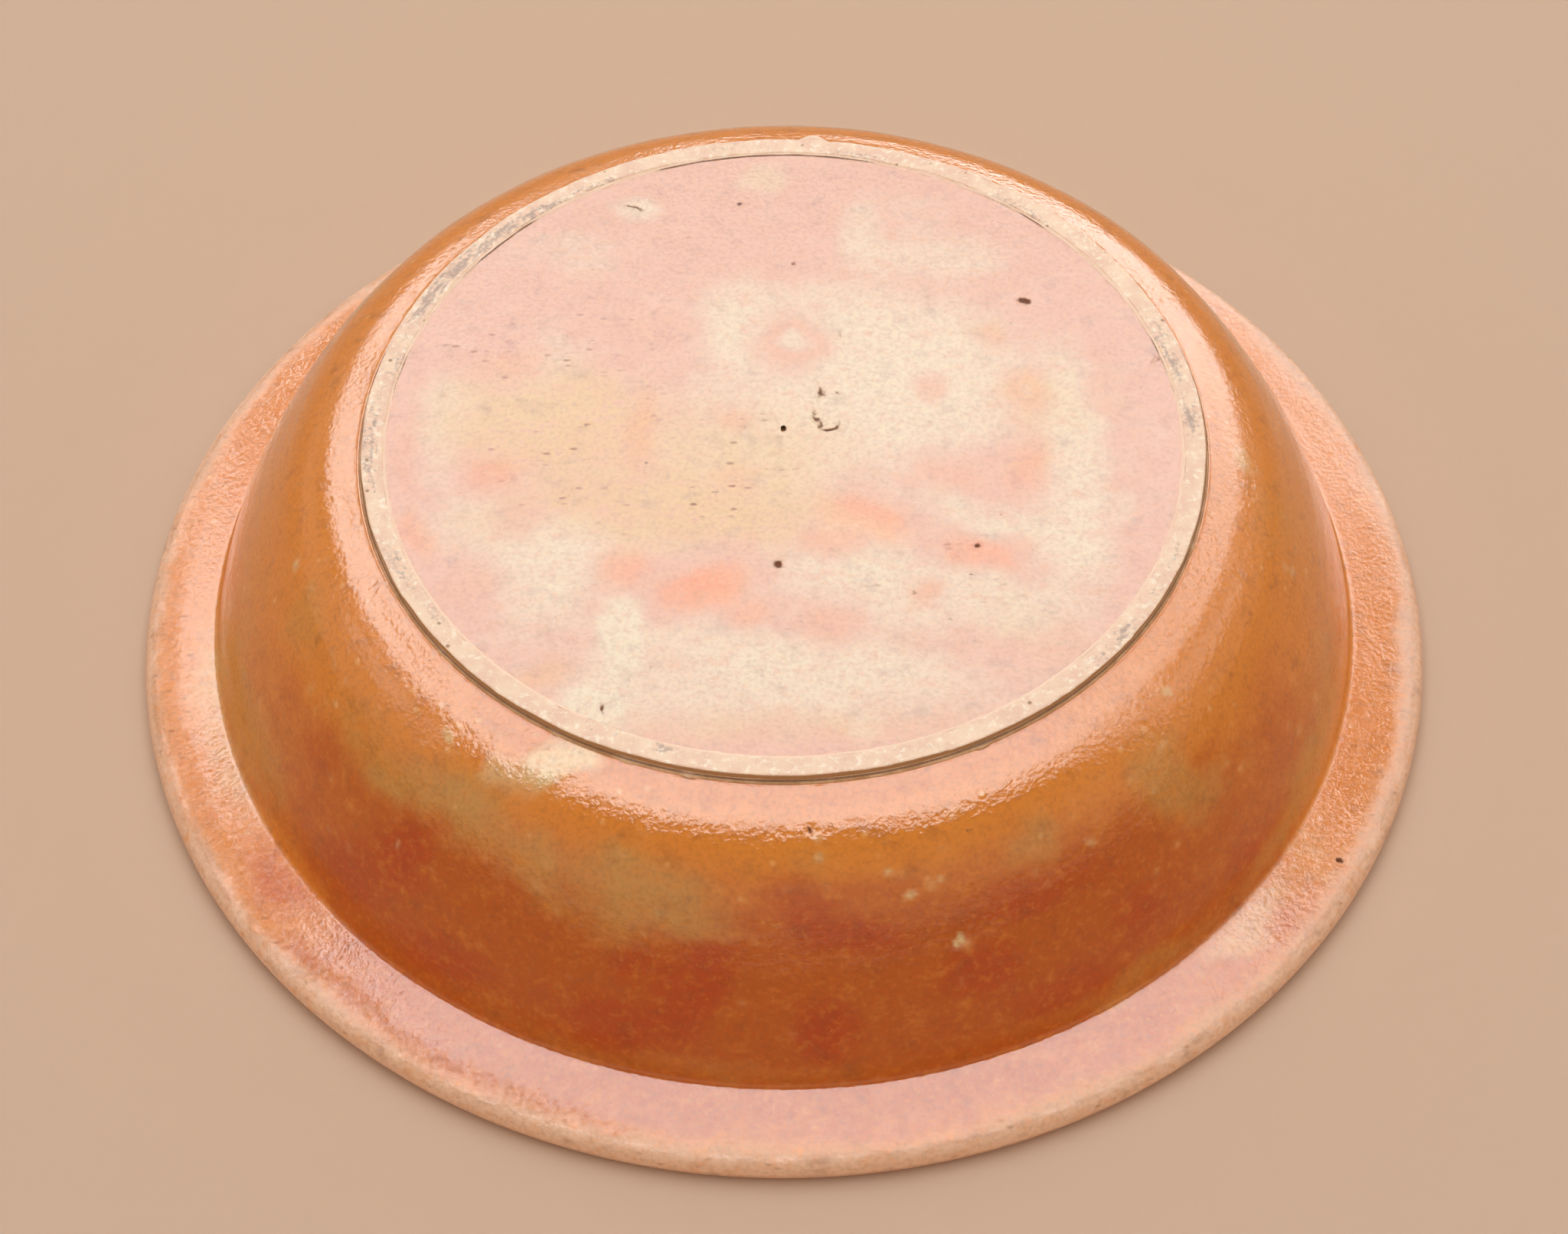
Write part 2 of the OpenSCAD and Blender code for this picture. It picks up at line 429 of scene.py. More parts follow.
# Dark runs of the inner seam: brown slip, and round the far half of the ring mostly painted shadow
# where the ring's inner side steps down to the base.
# Turn and half width in degrees, and strength
dark_runs_and_shadow = [
    (171, 11, 1.0), (185, 4, 0.9), (-169, 5, 0.6), (-142, 8, 0.6), (135, 7, 0.8), (126, 4, 0.6),
    (102, 6, 0.5), (-104, 8, 0.5), (-72, 6, 0.3), (-40, 25, 0.25), (22, 9, 0.4), (55, 12, 0.2),
]
dark_line_and_shadow = sum(
    strength * np.exp(-((turn_apart(inner_turn, at) / wide) ** 4))
    for at, wide, strength in dark_runs_and_shadow
)
in_hollow = np.zeros(len(inner_section))
in_hollow[-INNER_STEPS:] = np.sin(np.linspace(0.2, 1.0, INNER_STEPS) * np.pi)
dark_line_and_shadow = dark_line_and_shadow * (0.9 + 0.5 * value_noise(inner_points, 2.4 * MM, 33))
dark_line_and_shadow = np.clip(dark_line_and_shadow, 0, 1) * in_hollow
wiped = np.clip(0.95 + 0.25 * value_noise(inner_points, 5 * MM, 34), 0, 1)
inner_fields = {"pale": wiped, "deep": dark_line_and_shadow}
turned_piece("inner_slip_seam", "inner_seam", inner_r, inner_z, inner_fields, slip)


# Outer glaze: the coat over the shoulder, the wall and the lower face of the flange.
# A clear glaze stained with iron: honey amber, olive where it pooled and rust where it ran thin,
# with an orange-peel skin, pinholes and a lip rubbed dull. The honey up by the foot and on the
# sides is partly painted light, and so is the paler edge of the lip.
def mottled_glaze(name, amber, honey, ochre, rust, cream, flush_sheen, dull):
    """Iron-stained glaze: a ground from amber to honey with a fine grain, ochre and rust clouds,
    and pale runs, worn, rubbed, pitted, pricked and crazed places where the mesh says. On the
    outer coat some pale and rubbed places are painted light. Small light specks in the honey are
    painted glints, highlights laid into the colour. The rust clouds are rougher than the rest by
    the value dull, and their sheen has the colour flush_sheen. Broken skin, in pits, pricks and
    crazed flakes, has hardly any sheen."""
    glaze = Finish(name)
    beige, bared_and_lit, light = (0.53, 0.265, 0.13, 1), (0.80, 0.48, 0.31, 1), (0.84, 0.44, 0.15, 1)
    soot, umber = (0.12, 0.035, 0.010, 1), (0.20, 0.055, 0.014, 1)
    full_sheen, broken = (1, 1, 1, 1), (0.10, 0.06, 0.04, 1)
    puffs = glaze.cloud(0.007, 5)
    fine = glaze.cloud(0.0017, 3)
    grain = glaze.cloud(0.0009, 2, 0.6)
    streaks = glaze.cloud(0.0026, 4, 0.65, (0.35, 1, 1))
    ragged = glaze.sum(glaze.sum(glaze.sum(-0.5, puffs, 0.45), fine, 0.20), streaks, 0.35)
    # Each wash: its field, its colour, how ragged its edge is, and where it starts and is full
    washes = [
        ("honey", honey, 1.2, 0.0, 1.0),
        ("ochre", ochre, 0.9, 0.0, 1.1),
        ("rust", rust, 0.9, 0.0, 1.1),
        ("worn", beige, 0.9, 0.12, 0.95),
        ("rubbed", bared_and_lit, 0.5, 0.05, 0.95),
        ("pale", cream, 0.8, 0.03, 1.0),
        ("warm", ochre, 0.5, 0.0, 1.1),
    ]
    colour, share = amber, {}
    for field, wash, stray, low, high in washes:
        share[field] = glaze.ease(glaze.sum(glaze.field(field), ragged, stray), low, high)
        colour = glaze.mix(share[field], colour, wash)
    mottle = glaze.sum(glaze.cloud(0.0042, 3, 0.6), streaks, 0.5)
    colour = glaze.mix(glaze.ease(mottle, 0.76, 1.08, 0.0, 0.34), colour, umber)
    colour = glaze.mix(glaze.ease(mottle, 0.72, 0.45, 0.0, 0.46), colour, honey)
    colour = glaze.mix(glaze.ease(grain, 0.40, 0.74, 0.0, 0.22), colour, umber)
    warm_grain = glaze.ease(glaze.cloud(0.0014, 2, 0.6), 0.48, 0.78, 0.0, 0.34)
    colour = glaze.mix(warm_grain, colour, honey)
    # Painted glints: small light specks laid into the colour where the glaze is honey, standing for
    # highlights on its orange-peel skin. They also raise the relief a little.
    painted_glints = glaze.specks(0.0036, 0.0009, 0.3, 0.15)
    painted_glints = glaze.times(painted_glints, glaze.ease(glaze.field("honey"), 0.2, 0.9))
    colour = glaze.mix(glaze.times(painted_glints, 0.5), colour, light)
    pinholes = glaze.specks(0.0075, 0.0004, 0.12)
    pricks = glaze.specks(0.0013, 0.00048, 0.4, 0.3, (0.45, 1, 1))
    in_streaks = glaze.ease(streaks, 0.42, 0.58)
    pricks = glaze.times(pricks, glaze.times(glaze.field("pricked"), in_streaks))
    prick_share = 0.85
    colour = glaze.mix(glaze.sum(pinholes, pricks, prick_share), colour, umber)
    dark_share = glaze.ease(glaze.sum(glaze.field("pit"), grain, 0.5), 0.5, 1.0)
    colour = glaze.mix(dark_share, colour, soot)
    glaze.set("Base Color", colour)
    crazed, flakes = glaze.field("crazed"), glaze.cloud(0.0011, 3, 0.65)
    lifted = glaze.ease(glaze.sum(crazed, flakes, 1.6), 1.15, 1.75, 0.0, 0.65)
    sheen = glaze.mix(glaze.sum(share["rust"], share["warm"], 0.4), full_sheen, flush_sheen)
    sheen = glaze.mix(lifted, sheen, broken)
    sheen = glaze.mix(glaze.sum(dark_share, pricks, prick_share), sheen, broken)
    glaze.set("Specular Tint", sheen)
    gloss = glaze.ease(fine, 0.3, 0.7, 0.06, 0.11)
    matt = glaze.sum(glaze.sum(gloss, share["worn"], 0.40), share["rust"], dull)
    glaze.set("Roughness", glaze.sum(matt, dark_share, 0.6))
    glaze.set("IOR", 1.5)
    peel = glaze.times(glaze.cloud(0.0015, 1), glaze.field("peel"))
    skin = glaze.sum(glaze.times(peel, 0.3), grain, 0.32)
    skin = glaze.sum(glaze.sum(skin, pinholes, -0.3), painted_glints, 0.12)
    glaze.bump(glaze.sum(skin, glaze.times(crazed, flakes), 0.5), 0.00028)
    return glaze.material


glaze = mottled_glaze(
    "wall_glaze",
    amber=(0.505, 0.102, 0.008, 1),
    honey=(0.72, 0.232, 0.026, 1),
    ochre=(0.57, 0.270, 0.060, 1),
    rust=(0.47, 0.058, 0.003, 1),
    cream=(0.74, 0.50, 0.24, 1),
    flush_sheen=(1, 1, 1, 1),
    dull=0.12,
)
rim_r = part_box("outer_glaze")[1].x
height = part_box("inner_glaze")[1].z
lip_r = 3 * MM
flange_w = 14 * MM
flange_tilt = 9
wall_r = 114 * MM
shoulder_r = 23 * MM
shoulder_slope = 12
glaze_t = base_high.z - base_low.z


def heading(angle):
    """The unit vector at an angle in degrees."""
    return np.array([math.cos(math.radians(angle)), math.sin(math.radians(angle))])


def angle_of(vector):
    """The direction of a vector, in degrees."""
    return math.degrees(math.atan2(vector[1], vector[0]))


lip_c = np.array([rim_r - lip_r, height - lip_r])
shoulder_c = np.array([seam_out, seat_z]) + (shoulder_r - glaze_t) * heading(90 + shoulder_slope)
flange_under = heading(flange_tilt - 90)
lip_under = lip_c + lip_r * flange_under
wall_top_r = rim_r - flange_w
flange_drop = (lip_under[0] - wall_top_r) * math.tan(math.radians(flange_tilt))
wall_top = np.array([wall_top_r, lip_under[1] - flange_drop])
# The wall's centre lies wall_r from its top and wall_r - shoulder_r from the shoulder's centre
gap = np.linalg.norm(wall_top - shoulder_c)
along = (wall_top - shoulder_c) / gap
reach = ((wall_r - shoulder_r) ** 2 - wall_r**2 + gap**2) / (2 * gap)
aside = math.sqrt((wall_r - shoulder_r) ** 2 - reach**2) * np.array([-along[1], along[0]])
wall_c = shoulder_c + reach * along + aside
shoulder_end = angle_of(shoulder_c - wall_c)
shoulder_start = -math.degrees(math.acos((seam_out - shoulder_c[0]) / shoulder_r))
FINE_STEPS = 4000  # points on a section while its corners are rounded


def softened(points, ease, steps):
    """A section resampled at even steps after a Gaussian of the given width has rounded its
    corners. Its ends stay. It comes with its distances along the section."""
    length = np.r_[0, np.cumsum(np.linalg.norm(np.diff(points, axis=0), axis=1))]
    fine = np.linspace(0, length[-1], FINE_STEPS)
    dense = np.stack([np.interp(fine, length, points[:, k]) for k in range(2)], -1)
    span = int(4 * ease / fine[1])
    weight = np.exp(-0.5 * (np.arange(-span, span + 1) * fine[1] / ease) ** 2)
    weight /= weight.sum()
    ends = [2 * dense[0] - dense[span:0:-1], dense, 2 * dense[-1] - dense[-2:-span - 2:-1]]
    padded = np.vstack(ends)
    smooth = np.stack([np.convolve(padded[:, k], weight, "valid") for k in range(2)], -1)
    pick = np.linspace(0, len(fine) - 1, steps + 1).round().astype(int)
    return smooth[pick], fine[pick]


def normals(points):
    """Unit normals of a section, a quarter turn clockwise from its direction."""
    run = np.gradient(points, axis=0)
    run /= np.linalg.norm(run, axis=1)[:, None]
    return np.stack([run[:, 1], -run[:, 0]], -1)


def patches(across, along, spots):
    """Soft ellipses on a surface with two coordinates in millimetres, laid over each other like
    washes: what shows through is the product of what each lets through. A spot gives its middle,
    its half length and half width, its turn in degrees and its strength. A negative strength
    takes away. The result stays from 0 to 1."""
    total = np.zeros(np.broadcast(across, along).shape)
    for x, y, long, wide, turn, strength in spots:
        c, s = math.cos(math.radians(turn)), math.sin(math.radians(turn))
        u, v = across - x, along - y
        apart = np.hypot((u * c + v * s) / long, (v * c - u * s) / wide)
        share = min(abs(strength), 1.0) * (1 - eased(apart, 0.3, 1.7))
        total = total + share * (1 - total) if strength > 0 else total * (1 - share)
    return total


outer_line = section(
    arc(shoulder_c, shoulder_r, shoulder_start, shoulder_end, 60),
    arc(wall_c, wall_r, shoulder_end, angle_of(wall_top - wall_c), 90),
    line(wall_top, lip_under, 30),
    arc(lip_c, lip_r, flange_tilt - 90, 0, 40),
)
# At its toe the glaze is rolled, and runs a little over the seam
TOE_STEPS = 7
run_in = np.linspace(0.42, 0.02, TOE_STEPS) * MM
run_down = 0.55 * run_in - 0.10 * MM * (1 - eased(np.linspace(0, 1, TOE_STEPS), 0, 0.35))
outer_points, outer_s = softened(outer_line, 0.5 * MM, 104)
toe_roll = 0.2 * MM * (1 - np.clip(outer_s / (3 * MM), 0, 1)) ** 2
outer_points = outer_points + toe_roll[:, None] * normals(outer_points)
over_toe = outer_points[0] - np.stack([run_in, run_down], -1)
outer_points = np.vstack([over_toe, outer_points])
outer_s = np.r_[-run_in - 0.05 * MM, outer_s]
outer_n = normals(outer_points)
# From here on distances along the section are in millimetres, counted from the ring's side
ring_to_toe = 1.7
outer_s = outer_s / MM + ring_to_toe
outer_length = outer_s[-1]
outer_turn = turn_of_rows()
outer_r, outer_z, outer_space = carried_round(outer_points)
RAGGED_FROM = 4  # a spot of this half width in millimetres has a fully ragged edge


def wander(points, seed):
    """How far the edge of a patch strays at each point, in millimetres."""
    return unevenness(points, (2.2, 7, seed), (1.0, 3, seed + 1))


stray_round, stray_down = wander(outer_space, 45), wander(outer_space, 47)


def round_wall(spots):
    """Patches on the wall, with ragged edges. In place of the middle, a spot gives its turn in
    degrees and its distance along the section from the foot in millimetres."""
    total = 0
    for spot in spots:
        share = min(1.0, min(spot[2:4]) / RAGGED_FROM)
        across = np.radians(turn_apart(outer_turn, spot[0])) * outer_points[:, 0] / MM
        ragged_s = outer_s + share * stray_down
        patch = patches(across + share * stray_round, ragged_s, [(0, *spot[1:])])
        total = total + patch * (1 - total)
    return total


# Each spot: turn, distance from the foot, half length and half width, slant, strength
wall_olive = [
    (37, 19.8, 9, 5, 0, 1.0), (45, 23.8, 6, 4, 25, 1.0), (27, 20.8, 7, 5, 0, 0.8),
    (15, 20.8, 11, 6, 0, 0.9), (21, 28.8, 12, 4, -8, 0.5), (9, 25.8, 6, 3.5, 0, 0.7),
    (-27, 19.8, 5, 5, 0, 0.6), (-44, 21.8, 6, 8, 0, 0.8), (-48, 29.8, 6, 6, 0, 0.6),
    (-3, 14.8, 3, 5, 0, 0.4), (68, 49, 16, 8, 0, 0.9), (81, 51, 12, 7, 0, 0.9),
    (-66, 50, 13, 6, 0, 0.8), (-56, 53, 12, 4, 0, 0.6), (68, 18.8, 7, 7, 0, 0.5),
    (-83, 16.8, 9, 8, 0, 0.4), (-35, 54, 20, 3, 0, 0.6), (10, 54.5, 40, 2.5, 0, 0.4),
    (52, 21.8, 9, 6, 0, 0.5), (78, 41.8, 10, 9, 0, 0.5), (-75, 45.8, 10, 8, 0, 0.5),
    (125, 23.8, 14, 8, 10, 0.9), (150, 41.8, 18, 8, -10, 0.8), (178, 21.8, 12, 7, 0, 0.9),
    (-155, 31.8, 14, 9, 15, 0.8), (-120, 25.8, 12, 7, 0, 0.9), (-110, 47.8, 18, 6, 0, 0.7),
    (105, 39.8, 12, 9, 0, 0.7),
]
wall_rust = [
    (40, 30.8, 4.5, 5, 0, 0.9), (42, 36.8, 6, 5, 0, 0.8), (47, 44.8, 9, 6, 0, 0.7),
    (55, 31.8, 5, 5, 0, 0.5), (63, 29.8, 5, 4, 0, 0.35), (15, 34.8, 5, 4, 0, 0.7),
    (7.5, 32.8, 4, 6, 0, 0.8), (9.5, 39.8, 5, 8, 0, 0.8), (34, 48.8, 12, 5, 0, 0.7),
    (16, 47.8, 12, 6, 0, 0.8), (-4, 44.8, 5, 7, 0, 0.9), (-6, 27.8, 9, 3.5, -8, 0.8),
    (-1, 23.8, 5, 3, 0, 0.6), (-19, 38.8, 7, 6, 0, 0.8), (-25, 27.8, 11, 3.5, 0, 0.7),
    (-34, 29.8, 7, 4, 0, 0.4), (-27, 48.8, 10, 6, 0, 0.7), (-36, 41.8, 6, 6, 0, 0.7),
    (-52, 47.8, 6, 5, 0, 0.6), (-62, 35.8, 8, 8, 0, 0.4), (-64, 23.8, 9, 4, 0, 0.3),
    (113, 29.8, 10, 7, 0, 0.6), (138, 27.8, 11, 6, 0, 0.8), (165, 35.8, 12, 9, 0, 0.8),
    (-170, 45.8, 14, 7, 0, 0.7), (-140, 23.8, 9, 6, 0, 0.7), (-130, 43.8, 13, 8, 0, 0.8),
    (54, 61, 11, 4.5, 0, 0.6), (-2, 20, 9, 3.5, 0, 0.6), (-12, 21, 7, 3, 0, 0.4),
]
wall_chip = [
    (-17.3, 31.5, 1.5, 0.6, 60, 1.0),
]
wall_flecks = [
    (-3.5, 10.5, 0.9, 1.2, 0, 0.5), (-3.6, 13.5, 0.8, 0.9, 0, 0.5), (-11, 17, 0.8, 0.7, 0, 0.6),
    (-13, 21.7, 1.1, 0.7, 20, 0.6), (-16.5, 20, 0.8, 0.7, 0, 0.5), (-33, 24, 1.5, 0.8, -40, 0.35),
    (-45.5, 16.5, 1.2, 0.8, 0, 0.5), (-50, 10.5, 1.2, 1.0, 0, 0.6), (-77, 23, 1.3, 1.0, 0, 0.5),
    (42, 11, 1.6, 0.9, -30, 0.7), (75, 17, 1.3, 1.0, 0, 0.5), (57, 22, 1.0, 0.8, 0, 0.4),
    (42, 33, 0.7, 1.1, 0, 0.4),
]
wall_drip = [
    (30, 7, 3.2, 6.0, -25, 0.9), (34, 12, 3.0, 2.4, -30, 0.6), (26, 2.5, 3.4, 2.6, 0, 0.85),
]
# Pale washes of the glaze. The one at turn 74 on the flange is a painted highlight, a whitish sheen
# laid into the colour.
pale_washes_and_highlight = [
    (-88, 7.5, 3.0, 2.0, 0, 0.5), (74, 58.5, 24, 4, 0, 0.4), (-47, 60.5, 12, 4, 0, 0.45),
    (-57, 61, 9, 4, 0, 0.25),
]
flange_honey = [
    (-82, 62, 40, 9, 0, 1.0), (55, 61, 13, 6, 0, 1.0), (140, 62, 40, 9, 0, 0.8),
    (-150, 62, 40, 9, 0, 0.7),
]
flange_crazed = [
    (55, 60.5, 15, 5, 0, 0.8), (-57, 61, 13, 5, 0, 0.7), (-76, 60.5, 22, 4.5, 0, 0.5),
    (30, 66.5, 42, 3, 0, 0.5), (75, 66.3, 62, 2.8, 0, 0.85),
]
flange_pricked = [(75, 65, 60, 3.5, 0, 0.5)]
wall_pits = [
    (-3, 9, 0.55, 0.55, 0, 1.0), (-20.5, 13.5, 0.5, 0.5, 0, 0.8), (-58.5, 66, 0.8, 0.7, 0, 1.0),
    (10, 28, 0.5, 0.5, 0, 0.6),
]

BLISTERS = 330
dice = np.random.default_rng(71)
blister_turn, blister_size = dice.uniform(0, 360, BLISTERS), dice.uniform(0.55, 1.25, BLISTERS)
blister_s = 9 + 42 * dice.beta(1.2, 2.0, BLISTERS)
blisters = 0
for at, along_by, size in zip(blister_turn, blister_s, blister_size):
    across = np.radians(turn_apart(outer_turn, at)) * outer_points[:, 0] / MM
    blisters = blisters + np.exp(-(across**2 + (outer_s - along_by) ** 2) / size**2)

outer_ends = eased(outer_s, ring_to_toe, 5.0) * eased(outer_length - outer_s, 0.0, 3.0)
at_flange = eased(outer_s, 50, 55) * (1 - eased(outer_s, 58, 66))
waves = unevenness(outer_space, (0.16, 17, 41), (0.05, 6, 42)) * (1 - 0.8 * at_flange)
peel = 0.012 * value_noise(outer_space, 2.2 * MM, 43) + 0.03 * blisters
rings = 0.015 * np.sin(outer_s * 2 * np.pi / 5.3 + 1.5 * value_noise(outer_space, 60 * MM, 44))
outer_pale_and_highlight = round_wall(wall_chip + wall_flecks + wall_drip + pale_washes_and_highlight)
outer_pit = round_wall(wall_pits)
chip = round_wall(wall_chip)
drip = round_wall(wall_drip)
relief = waves + peel + rings + 0.12 * (outer_pale_and_highlight - chip) + 0.12 * drip
relief = (relief - 0.28 * chip - 0.2 * outer_pit) * outer_ends * MM
skin_r = outer_r + relief * outer_n[:, 0]
skin_z = outer_z + relief * outer_n[:, 1]
corner = np.argmin(np.linalg.norm(outer_points - wall_top, axis=1))
UNDER_POINTS = 18
under_pick = np.linspace(0, len(outer_points) - 1, UNDER_POINTS).round().astype(int)
under_pick = np.unique(np.r_[under_pick, corner + np.arange(-4, 5, 2)])[::-1]
under = outer_points - glaze_t * outer_n
under[-1] = (rim_r - glaze_t, lip_c[1])
shell_r = np.hstack([skin_r, np.tile(under[under_pick, 0], (TURNS, 1))])
shell_z = np.hstack([skin_z, np.tile(under[under_pick, 1], (TURNS, 1))])


def with_under(field):
    """A field of the skin with zeros for the hidden underside."""
    return np.hstack([np.broadcast_to(field, skin_r.shape), np.zeros((TURNS, len(under_pick)))])


worn_from, worn_to = outer_length - 10.0, outer_length - 2.5
lip_worn = eased(outer_s + 1.2 * value_noise(outer_space, 9 * MM, 49), worn_from, worn_to)
lip_worn = lip_worn * (0.85 + 0.2 * value_noise(outer_space, 14 * MM, 50))
glossy_side = np.exp(-((turn_apart(outer_turn, 75) / 38) ** 4)) * (1 - eased(outer_s, 65.5, 68.5))
lip_worn = lip_worn * (1 - 0.7 * glossy_side)
flange_worn = 0.25 * eased(outer_s, 60, 66)
# Partly painted light: the lip's outer edge is painted paler. Part of it is worn clay showing, and
# part is painted light that lifts the floor's shadow under the lip.
lip_rubbed_and_lit = eased(outer_s + 0.8 * value_noise(outer_space, 5 * MM, 81), 68.6, 71.0)
from_near = np.abs(turn_apart(outer_turn, 0))
# Partly painted light: the wall is painted lighter honey up by the foot and on the sides away from
# the near side, where more light fell. The rest of the honey is the glaze's own tone.
side_honey_and_light = eased(from_near, 28, 88) * (1 - 0.35 * eased(outer_s, 30, 50))
shoulder_honey_and_light = (1 - eased(outer_s, 9, 32)) * (0.65 + 0.35 * eased(outer_s, 4, 8))
outer_honey_and_light = shoulder_honey_and_light + 0.95 * side_honey_and_light + 0.4 * blisters
outer_honey_and_light = outer_honey_and_light + round_wall(flange_honey) + 0.3 * eased(outer_s, 56, 59)
sheen_edge = np.exp(-(((outer_s - 8.5) / 2.4) ** 2)) * (0.35 + 0.40 * eased(from_near, 35, 60))
outer_fields = {
    "honey": with_under(np.clip(outer_honey_and_light, 0, 1)),
    "ochre": with_under(round_wall(wall_olive) * 0.9),
    "rust": with_under(round_wall(wall_rust)),
    "pale": with_under(np.clip(outer_pale_and_highlight + 0.22 * blisters, 0, 1)),
    "pit": with_under(outer_pit),
    "pricked": with_under(np.clip(0.6 * lip_worn + round_wall(flange_pricked), 0, 1)),
    "warm": 0.0,
    "worn": with_under(np.maximum(lip_worn, flange_worn)),
    "rubbed": with_under(lip_rubbed_and_lit),
    "crazed": with_under(np.clip(round_wall(flange_crazed) + 0.3 * lip_worn + sheen_edge, 0, 1)),
    "peel": with_under(1 - 0.85 * eased(outer_s, 50, 53) * (1 - eased(outer_s, 57, 63))),
}
turned_piece("outer_glaze_coat", "outer_glaze", shell_r, shell_z, outer_fields, glaze)


# Base glaze: the same glaze, brushed over the base inside the ring and left to pool.
# It has clouds of every tone, craters where bubbles broke, and iron specks.
base_finish = mottled_glaze(
    "base_glaze",
    amber=(0.54, 0.185, 0.060, 1),
    honey=(0.56, 0.205, 0.070, 1),
    ochre=(0.54, 0.260, 0.012, 1),
    rust=(0.54, 0.095, 0.006, 1),
    cream=(0.58, 0.41, 0.21, 1),
    flush_sheen=(1, 0.92, 0.78, 1),
    dull=0.25,
)
BASE_STEPS = 110
BACK_STEP = 12  # steps of the face to one of the hidden back
face_r = np.linspace(0, seam_in, BASE_STEPS + 1)
back_r = np.r_[face_r[:BACK_STEP:-BACK_STEP], 0]
base_levels = np.repeat([base_low.z, base_high.z], [len(face_r), len(back_r)])
base_section = np.stack([np.r_[face_r, back_r], base_levels], -1)
base_r, base_z, base_space = carried_round(base_section)
base_x, base_y = base_space[..., 0] / MM, base_space[..., 1] / MM
stray_x = base_x + 0.6 * wander(base_space, 54)
stray_y = base_y + 0.6 * wander(base_space, 56)
lower_face = base_z < (base_low.z + base_high.z) / 2

# Each spot: x, y, half length and half width, slant, strength
base_cream = [
    (-6, -4, 46, 32, 0, 0.45), (-4, 24, 15, 11, 0, 0.8), (-22, 20, 14, 14, 0, 0.8),
    (-14, 5, 22, 9, 0, 0.8), (-33, 14, 12, 12, 0, 0.6), (9, 26, 6, 11, 0, 0.7),
    (-26, 43, 14, 7, 0, 0.6), (-14, 50, 4, 8, 5, 0.6), (0, -6, 16, 8, 0, 0.6),
    (-51, -2, 5, 20, 0, 0.9), (-49, -26, 7, 10, 0, 0.8), (-34, -20, 16, 3.5, 22, 0.7),
    (-12, -31, 12, 4.5, 12, 0.7), (-38, -38, 13, 6, 15, 0.7), (-20, -41, 10, 5, 0, 0.5),
    (10, -47, 17, 4, 5, 0.7), (-6, -52, 18, 5, 0, 0.7), (42, -30, 9, 9, 0, 0.8),
    (38, -24, 14, 5, 0, 0.5), (55, -20, 6, 9, 0, 0.5), (28, -48, 4, 12, 0, 0.7),
    (4, 64, 4, 4, 0, 0.5), (27, 56, 4, 3.5, 0, 0.45), (38, 45, 11, 6, 0, 0.35),
    (60, 3, 4, 12, 0, 0.5), (42, 18, 5, 8, 15, 0.45), (48, 6, 14, 8, 0, 0.5),
    (-59, -18, 2.5, 3, 0, 0.4), (-13, -63, 3, 2.5, 0, 0.4), (-24, 56, 8, 4, 20, 0.3),
    (4, -56, 38, 8, 0, 0.75), (38, -42, 9, 8, 0, 0.6), (-20, -36, 16, 6, 10, 0.4),
]
base_ochre = [
    (46, 3, 15, 10, 0, 0.6), (30, -15, 16, 7, 0, 0.5), (10, -20, 16, 8, 0, 0.7),
    (12, -10, 14, 8, 0, 0.3), (50, -20, 8, 7, 0, 0.4), (-43, 9, 5, 6, 0, 0.6),
    (-37, 24, 4, 4, 0, 0.6), (-44, -9, 5, 7, 0, 0.3), (40, -54, 6, 4, -30, 0.6),
    (-45, -48, 14, 6, 45, 0.4), (0, -64, 30, 4, 0, 0.5), (4, 64, 4, 4, 0, 0.5),
    (-58, 10, 3, 8, 0, 0.3), (36, 2, 18, 14, 0, 0.9), (4, -6, 18, 13, 0, 0.7),
    (22, -18, 22, 8, 0, 0.6), (-47, 5, 8, 10, 0, 0.5), (55, 8, 9, 12, 0, 0.4),
]
base_islands = [
    (-2, 22, 6.5, 7, 0, 1.0), (-2, 22.3, 2.2, 2.2, 0, -0.9), (-26, 10.7, 3.2, 2.8, 0, 0.7),
    (-37, 23, 3.6, 3.4, 0, 0.7), (-43, 9, 4.6, 5, 0, 0.8), (-43, 9, 1.5, 2, 0, -0.4),
    (-26, 36, 6, 3, 0, 0.6), (4, 44, 12, 6, 0, 0.6), (-42, -8, 6, 8, 10, 0.9),
    (-31, -10, 9, 5.5, 22, 0.9), (-18, -17, 10, 5, 27, 0.95), (-7, -25, 6, 3, 25, 0.7),
    (18, -34, 15, 6.5, -24, 1.0), (-36, -28, 9, 4, 20, 0.95), (-24, -37, 4, 3, -30, 0.7),
    (-8, -44, 6, 5, 0, 0.65), (8.5, 2.5, 4.5, 4, 0, 0.6), (9, -10.5, 5, 4, 0, 0.5),
    (25, 1, 4.5, 11, 5, 0.75), (24, 20, 10, 8, 0, 0.7), (51, -9, 6.5, 4.5, -20, 0.85),
    (45, -20, 5, 4, 0, 0.6), (49, 16, 8, 6, 0, 0.7), (55, -34, 7, 4.5, -20, 0.6),
    (38, -47, 7, 5, 0, 0.6), (40, -55, 6, 4, -30, 0.6), (-57, 12, 3, 7, 10, 0.4),
    (36, 30, 8, 6, 0, 0.5),
]
